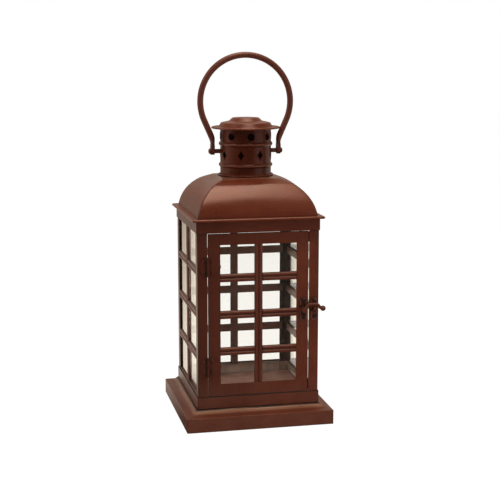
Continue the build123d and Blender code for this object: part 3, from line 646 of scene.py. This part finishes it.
def build_roof():
    """One closed sheet: the crown, down the outside, round the eave's roll and up the inside."""
    rings = [round_ring(FLUE_RADIUS, CROWN_Z), round_ring(CROWN_RIM, CROWN_Z)]
    outer = vault((HALF - SHEET, EAVE_Z + SHEET), (CROWN_HALF, CROWN_Z), OUTER_STEPS)
    for step, (reach, z) in enumerate(outer):
        ring = square_ring(reach, z)
        for p in ring:
            p += hand_form(p, step / OUTER_STEPS)
            p += Vector((p.x, p.y, 0)).normalized() * WAVE_MM * MM * perlin.noise(p * WAVE_SCALE)
        rings.append(ring)
    for step in range(ROLL_STEPS + 1):
        angle = math.radians(ROLL_START - ROLL_TURN * step / ROLL_STEPS)
        rings.append(square_ring(EAVE_HALF + ROLL_RADIUS * math.cos(angle),
                                 ROLL_Z + ROLL_RADIUS * math.sin(angle)))
    rings.append(square_ring(HALF - 2 * SHEET, EAVE_Z))
    inner = vault((HALF - 2 * SHEET, EAVE_Z + SHEET), (CROWN_HALF - SHEET / 2, CROWN_Z - SHEET),
                  INNER_STEPS)
    rings += [square_ring(reach, z) for reach, z in reversed(inner)]
    rings.append(round_ring(FLUE_RADIUS, CROWN_Z - SHEET))
    bm = bmesh.new()
    skin(bm, rings, True)
    add_piece("roof_vault", bm, "roof", ["roof"])


build_roof()


# Chimney: the burr that each punch leaves round its hole

CHIMNEY_RADIUS = 31.6 * MM
HOLES_ROUND = 8
HOLE_Z = 350 * MM
HOLE_RADIUS = 5.0 * MM
HOLE_STEPS = 36
DIAMOND_Z = 327.3 * MM
DIAMOND_ACROSS = 4.6 * MM
DIAMOND_UP = 6.75 * MM
DIAMOND_STEPS = 8
LIP_HEIGHT = 0.42 * MM
LIP_WIDTH = 0.6 * MM
LIP_SIDES = 8


def lip_path(outline, angle, z):
    """A hole's outline, given across and up, laid on the chimney at an angle from the front."""
    across = Vector((math.cos(angle), math.sin(angle), 0))
    out = Vector((math.sin(angle), -math.cos(angle), 0))
    return [across * s + out * math.sqrt(CHIMNEY_RADIUS**2 - s * s) + Vector((0, 0, z + up))
            for s, up in outline]


def lip(bm, path):
    """A closed, slightly flattened tube along a path on the chimney's side."""
    rings = []
    for i, p in enumerate(path):
        along = (path[(i + 1) % len(path)] - path[i - 1]).normalized()
        out = Vector((p.x, p.y, 0)).normalized()
        beside = out.cross(along)
        rings.append([p + out * LIP_HEIGHT * math.cos(turn) + beside * LIP_WIDTH * math.sin(turn)
                      for turn in turns(LIP_SIDES)])
    skin(bm, rings, True)


def build_lips():
    """A row of round lips above and a row of diamond ones below, half a step round from them."""
    bm = bmesh.new()
    circle = [(HOLE_RADIUS * math.cos(turn), HOLE_RADIUS * math.sin(turn))
              for turn in turns(HOLE_STEPS)]
    corners = [(DIAMOND_ACROSS, 0), (0, DIAMOND_UP), (-DIAMOND_ACROSS, 0), (0, -DIAMOND_UP)]
    diamond = []
    for corner, following in zip(corners, corners[1:] + corners[:1]):
        diamond += [corner, *between(corner, following, DIAMOND_STEPS)]
    for angle in turns(HOLES_ROUND):
        lip(bm, lip_path(circle, angle, HOLE_Z))
        lip(bm, lip_path(diamond, angle + math.pi / HOLES_ROUND, DIAMOND_Z))
    add_piece("punched_hole_lips", bm, "chimney")


build_lips()


# Rivets with domed heads, each a turned form from head to tail

RIVET_HEAD = 1.6 * MM
RIVET_RISE = 0.95 * MM
RIVET_SHANK = 0.9 * MM
RIVET_TAIL = 0.6 * MM
TAIL_TOP = 0.95 * RIVET_HEAD
TAIL_END = 0.8 * RIVET_HEAD
DOME_STEPS = 6
RIVET_SIDES = 24
RIVET_SHARP = 50
HINGE_RIVET_X = 5.4 * MM
HINGE_RIVET_Z = 6.5 * MM
PLATE_RIVET_Z = 11 * MM


def build_rivets(node_name, spots, under, through):
    """Rivets at spots across and up, on top of a plate and through it and the sheet."""
    bm = bmesh.new()
    angles = [math.pi / 2 * i / DOME_STEPS for i in range(1, DOME_STEPS + 1)]
    profile = [(RIVET_HEAD * math.sin(a), RIVET_RISE * math.cos(a)) for a in angles]
    profile += [(RIVET_SHANK, 0), (RIVET_SHANK, -through), (TAIL_TOP, -through)]
    profile += [(RIVET_HEAD, -through - RIVET_TAIL / 2), (TAIL_END, -through - RIVET_TAIL)]
    for x, z in spots:
        rings = [[Vector((x + radius * math.cos(turn), -HALF - under - out,
                          z + radius * math.sin(turn))) for turn in turns(RIVET_SIDES)]
                 for radius, out in profile]
        first = len(bm.verts)
        skin(bm, rings, False)
        bm.verts.ensure_lookup_table()
        bm.faces.new(bm.verts[first:first + RIVET_SIDES])
        bm.faces.new(bm.verts[-RIVET_SIDES:])
    add_piece(node_name + "_domed", bm, node_name, [node_name], sharp=RIVET_SHARP)


for name, side in (("post_hinge_rivets", -1), ("door_hinge_rivets", 1)):
    build_rivets(name, [(HINGE_X + side * HINGE_RIVET_X, z + step * HINGE_RIVET_Z)
                        for z in HINGE_Z for step in (-1, 1)], LEAF, LEAF + SHEET)
for name, x in (("latch_plate_rivets", LATCH_X), ("keeper_rivets", KEEPER_X)):
    build_rivets(name, [(x, LATCH_Z + step * PLATE_RIVET_Z) for step in (-1, 1)],
                 SHEET, 2 * SHEET)


# Latch plate and keeper: the pressed rim round each plate

PLATE_HALF = 14 * MM
PLATE_WIDTH = 9 * MM
KEEPER_WIDTH = 7.4 * MM
RIM_INSET = 0.75 * MM
RIM_WIDTH = 0.75 * MM
RIM_HEIGHT = 0.6 * MM
RIM_STEPS = 48
RIM_SIDES = 10
RIM_NUDGE = 1e-6


def build_rim(node_name, x, width):
    """A low rim just inside a plate's edge, straight at the sides and round at both ends."""
    bm = bmesh.new()
    radius = width / 2 - RIM_INSET
    straight = PLATE_HALF - width / 2
    rings = []
    for turn in turns(RIM_STEPS):
        beside = Vector((math.cos(turn), 0, math.sin(turn)))
        end = math.copysign(straight, math.sin(turn + RIM_NUDGE))
        middle = Vector((x, -HALF - SHEET, LATCH_Z + end))
        rings.append([middle + beside * (radius + RIM_WIDTH * math.cos(lean))
                      + Vector((0, -RIM_HEIGHT * math.sin(lean), 0)) for lean in turns(RIM_SIDES)])
    skin(bm, rings, True)
    # The rim's paler paint is a painted highlight.
    add_piece(node_name + "_rim", bm, node_name, material=materials["rim_highlight"])


build_rim("latch_plate", LATCH_X, PLATE_WIDTH)
build_rim("keeper", KEEPER_X, KEEPER_WIDTH)


# Bail: one bent rod, flattened at each end into an eye round its pin

ROD_RADIUS = 3.75 * MM
RING_Z = 391.96 * MM
RING_RADIUS = 56.8 * MM
RING_END = -24
ELBOW_RADIUS = 24 * MM
ELBOW_Z = 341.1 * MM
STRAP_Z = 336.7 * MM
EYE_X = 41.8 * MM
EYE_Z = 331.2 * MM
EYE_RADIUS = 4.5 * MM
EYE_HOLE = 1.75 * MM
EYE_HALF = 2.2 * MM
SECTION_STEPS = 14
RING_STEPS = 57
RUN_STEPS = 5
ELBOW_STEPS = 12
STRAP_STEPS = 5
EYE_SIDE_STEPS = 4
EYE_STEPS = 18
STRAP_ACROSS = [EYE_RADIUS * (2 * j / (SECTION_STEPS - 1) - 1) for j in range(SECTION_STEPS)]


def rod_path():
    """The rod's middle line from eye to eye: across X, up Z, and how flat its section is."""
    ring = []
    for step in range(RING_STEPS + 1):
        angle = math.radians(90 + (RING_END - 90) * step / RING_STEPS)
        ring.append((RING_RADIUS * math.cos(angle), RING_Z + RING_RADIUS * math.sin(angle)))
    elbow = []
    for step in range(ELBOW_STEPS + 1):
        angle = math.radians(180 + RING_END * (1 - step / ELBOW_STEPS))
        elbow.append((EYE_X + ELBOW_RADIUS + ELBOW_RADIUS * math.cos(angle),
                      ELBOW_Z + ELBOW_RADIUS * math.sin(angle)))
    elbow += between((EYE_X, ELBOW_Z), (EYE_X, STRAP_Z), STRAP_STEPS) + [(EYE_X, STRAP_Z)]
    top = elbow[0][1]
    half = [(x, z, 0.0) for x, z in ring + between(ring[-1], elbow[0], RUN_STEPS)]
    half += [(x, z, (1 - math.cos(math.pi * (top - z) / (top - STRAP_Z))) / 2) for x, z in elbow]
    return [(-x, z, share) for x, z, share in reversed(half[1:])] + half


def rod_sections():
    """The rod's round section and the strap's flat one, as steps out from the ring and along Y."""
    angles = [math.radians(-90 + 180 * (j + 0.5) / SECTION_STEPS) for j in range(SECTION_STEPS)]
    angles += [angle + math.pi for angle in angles]
    circle = [(ROD_RADIUS * math.cos(angle), ROD_RADIUS * math.sin(angle)) for angle in angles]
    flat = [(EYE_HALF, y) for y in STRAP_ACROSS] + [(-EYE_HALF, -y) for y in STRAP_ACROSS]
    return circle, flat


def eye_plate(bm, side):
    """The flat eye at one end of the rod, open at the top where the strap runs on."""
    outline = [(y, STRAP_Z) for y in STRAP_ACROSS]
    outline += between((EYE_RADIUS, STRAP_Z), (EYE_RADIUS, EYE_Z), EYE_SIDE_STEPS)
    outline += [(EYE_RADIUS * math.cos(math.pi * i / EYE_STEPS),
                 EYE_Z - EYE_RADIUS * math.sin(math.pi * i / EYE_STEPS))
                for i in range(EYE_STEPS + 1)]
    outline += between((-EYE_RADIUS, EYE_Z), (-EYE_RADIUS, STRAP_Z), EYE_SIDE_STEPS)
    hole = []
    for y, z in outline:
        angle = math.atan2(z - EYE_Z, y)
        hole.append((EYE_HOLE * math.cos(angle), EYE_Z + EYE_HOLE * math.sin(angle)))
    loops = ((EYE_HALF, outline), (EYE_HALF, hole), (-EYE_HALF, hole), (-EYE_HALF, outline))
    rows = [[bm.verts.new((side * (EYE_X + out), y, z)) for y, z in loop] for out, loop in loops]
    for low, high in zip(rows, rows[1:] + rows[:1]):
        for i in range(len(outline)):
            if low is rows[-1] and i < SECTION_STEPS - 1:
                continue
            k = (i + 1) % len(outline)
            bm.faces.new((low[i], low[k], high[k], high[i]))


def build_bail():
    bm = bmesh.new()
    circle, flat = rod_sections()
    line = rod_path()
    rings = []
    for i, (x, z, share) in enumerate(line):
        before, after = line[max(i - 1, 0)], line[min(i + 1, len(line) - 1)]
        along = Vector((after[0] - before[0], 0, after[1] - before[1])).normalized()
        out = Vector((-along.z, 0, along.x))
        ring = []
        for round_step, flat_step in zip(circle, flat):
            step, y = (r + (f - r) * share for r, f in zip(round_step, flat_step))
            ring.append(Vector((x, y, z)) + out * step)
        rings.append(ring)
    skin(bm, rings, False)
    for side in (-1, 1):
        eye_plate(bm, side)
    bmesh.ops.remove_doubles(bm, verts=bm.verts, dist=MERGE)
    add_piece("bail_bent_rod", bm, "bail", ["bail"])


build_bail()


# Stage: pale floor, white surroundings, soft lamps and the photograph's camera

FLOOR_SIZE = 8.0
FLOOR_Z = -0.3 * MM
FLOOR_GLOW = 1.12
FLOOR_GLOW_SHARE = 0.84
FLOOR_GREY = (0.88, 0.88, 0.87, 1.0)
WORLD_GREY = (0.42, 0.42, 0.42)
WHITE = (1.0, 1.0, 1.0)
FRONT_TONE = (0.050, 0.040, 0.034)
FOOT_TONE = (0.082, 0.068, 0.056)
NEAR_TONE = (1.15, 1.06, 0.91)
SWEEP_TONE = (0.80, 0.70, 0.57)
BACK_TONE = (0.36, 0.29, 0.23)
HIGH_TONE = (0.80, 0.67, 0.57)
FLOOR_SWEEP = (((-0.6, -0.2), FOOT_TONE), ((-0.03, 0.20), NEAR_TONE), ((0.4, 1.0), SWEEP_TONE),
               ((1.2, 2.6), BACK_TONE))
WORLD_BACK = (-0.45, 0.55)
WORLD_RISE = (0.18, 0.32)
WORLD_FALL = (0.40, 0.55)
WORLD_TOP = 0.3
SENSOR = 36.0
FOCAL_PIXELS = 1175.81
IMAGE_PIXELS = 500
CAMERA_PLACE = (-0.30825, -1.43071, 0.45710)
CAMERA_YAW = math.radians(12.375)
CAMERA_PITCH = math.radians(9.7516)
CAMERA_FAR = 50


def seen_by(tree, *rays):
    """1 for the named kinds of ray, 0 for the others."""
    path = add(tree, "ShaderNodeLightPath")
    total = path.outputs[rays[0]]
    for ray in rays[1:]:
        total = calc(tree, "MAXIMUM", total, path.outputs[ray])
    return total


def build_floor():
    """White to the eye with a faint contact shadow; for gloss, dark towards the room's front."""
    bm = bmesh.new()
    bmesh.ops.create_grid(bm, x_segments=2, y_segments=2, size=FLOOR_SIZE)
    mesh = bpy.data.meshes.new("floor")
    bm.to_mesh(mesh)
    bm.free()
    floor = bpy.data.objects.new("floor", mesh)
    floor.location = (0, 0, FLOOR_Z)
    bpy.context.scene.collection.objects.link(floor)
    mat, tree, out = new_material("floor")
    matt = add(tree, "ShaderNodeBsdfDiffuse", Color=FLOOR_GREY).outputs["BSDF"]
    white = add(tree, "ShaderNodeEmission", Strength=FLOOR_GLOW).outputs["Emission"]
    lit = mix_shader(tree, FLOOR_GLOW_SHARE, matt, white)
    place = split(tree, add(tree, "ShaderNodeNewGeometry").outputs["Position"])
    sweep = FRONT_TONE
    for span, tone in FLOOR_SWEEP:
        sweep = mix_colour(tree, remap(tree, place["Y"], span), sweep, tone)
    mirror = add(tree, "ShaderNodeEmission", Strength=1.0)
    tree.links.new(sweep, mirror.inputs["Color"])
    plain = mix_shader(tree, seen_by(tree, "Is Camera Ray", "Is Transmission Ray"), matt, lit)
    total = mix_shader(tree, seen_by(tree, "Is Glossy Ray"), plain, mirror.outputs["Emission"])
    tree.links.new(total, out.inputs["Surface"])
    mesh.materials.append(mat)


def build_world():
    """White to the eye and through the glass; for gloss, pale behind and dark in front."""
    world = bpy.data.worlds.new("studio")
    bpy.context.scene.world = world
    world.use_nodes = True
    tree = world.node_tree
    tree.nodes.clear()
    out = tree.nodes.new("ShaderNodeOutputWorld")
    axes = split(tree, add(tree, "ShaderNodeTexCoord").outputs["Generated"])
    back = remap(tree, axes["Y"], WORLD_BACK)
    rise = remap(tree, axes["Z"], WORLD_RISE)
    high = calc(tree, "MULTIPLY", rise, remap(tree, axes["Z"], WORLD_FALL, (1.0, WORLD_TOP)))
    room = mix_colour(tree, back, FRONT_TONE, mix_colour(tree, high, BACK_TONE, HIGH_TONE))
    light = mix_colour(tree, seen_by(tree, "Is Glossy Ray"), WORLD_GREY, room)
    light = mix_colour(tree, seen_by(tree, "Is Camera Ray", "Is Transmission Ray"), light, WHITE)
    sky = add(tree, "ShaderNodeBackground", Strength=1.0)
    tree.links.new(light, sky.inputs["Color"])
    tree.links.new(sky.outputs["Background"], out.inputs["Surface"])


def soft_lamp(name, place, target, size, power, colour=WHITE):
    """An area lamp, width by height in metres, that shines from a place to a target."""
    lamp = bpy.data.lights.new(name, "AREA")
    lamp.shape = "RECTANGLE"
    lamp.size, lamp.size_y = size
    lamp.energy = power
    lamp.color = colour
    obj = bpy.data.objects.new(name, lamp)
    obj.location = place
    obj.rotation_mode = "QUATERNION"
    obj.rotation_quaternion = (Vector(target) - Vector(place)).to_track_quat("-Z", "Y")
    obj.visible_camera = False
    bpy.context.scene.collection.objects.link(obj)


def build_camera():
    """The photograph's view: round to the left of the door, and looking slightly down."""
    level = math.cos(CAMERA_PITCH)
    forward = Vector((math.sin(CAMERA_YAW) * level, math.cos(CAMERA_YAW) * level,
                      -math.sin(CAMERA_PITCH)))
    data = bpy.data.cameras.new("camera")
    data.sensor_width = SENSOR
    data.lens = SENSOR * FOCAL_PIXELS / IMAGE_PIXELS
    data.clip_end = CAMERA_FAR
    camera = bpy.data.objects.new("camera", data)
    camera.location = CAMERA_PLACE
    camera.rotation_mode = "QUATERNION"
    camera.rotation_quaternion = forward.to_track_quat("-Z", "Y")
    bpy.context.scene.collection.objects.link(camera)
    bpy.context.scene.camera = camera


build_floor()
build_world()
soft_lamp("top_softbox", place=(0.10, -0.22, 1.45), target=(0.10, -0.22, 0.0), size=(0.6, 1.44),
          power=14.4, colour=(1.0, 0.97, 0.76))
soft_lamp("left_panel", place=(-1.5, -0.2, 0.8), target=(0, 0, 0.22), size=(0.9, 1.2), power=3.4)
soft_lamp("left_key", place=(-1.2, -0.45, 1.3), target=(0, 0, 0.3), size=(0.11, 0.11), power=2.6)
soft_lamp("right_fill", place=(0.75, -0.6, 0.3), target=(0, 0, 0.15), size=(0.7, 0.9), power=1.5)
build_camera()
bpy.context.scene.view_settings.view_transform = "Standard"
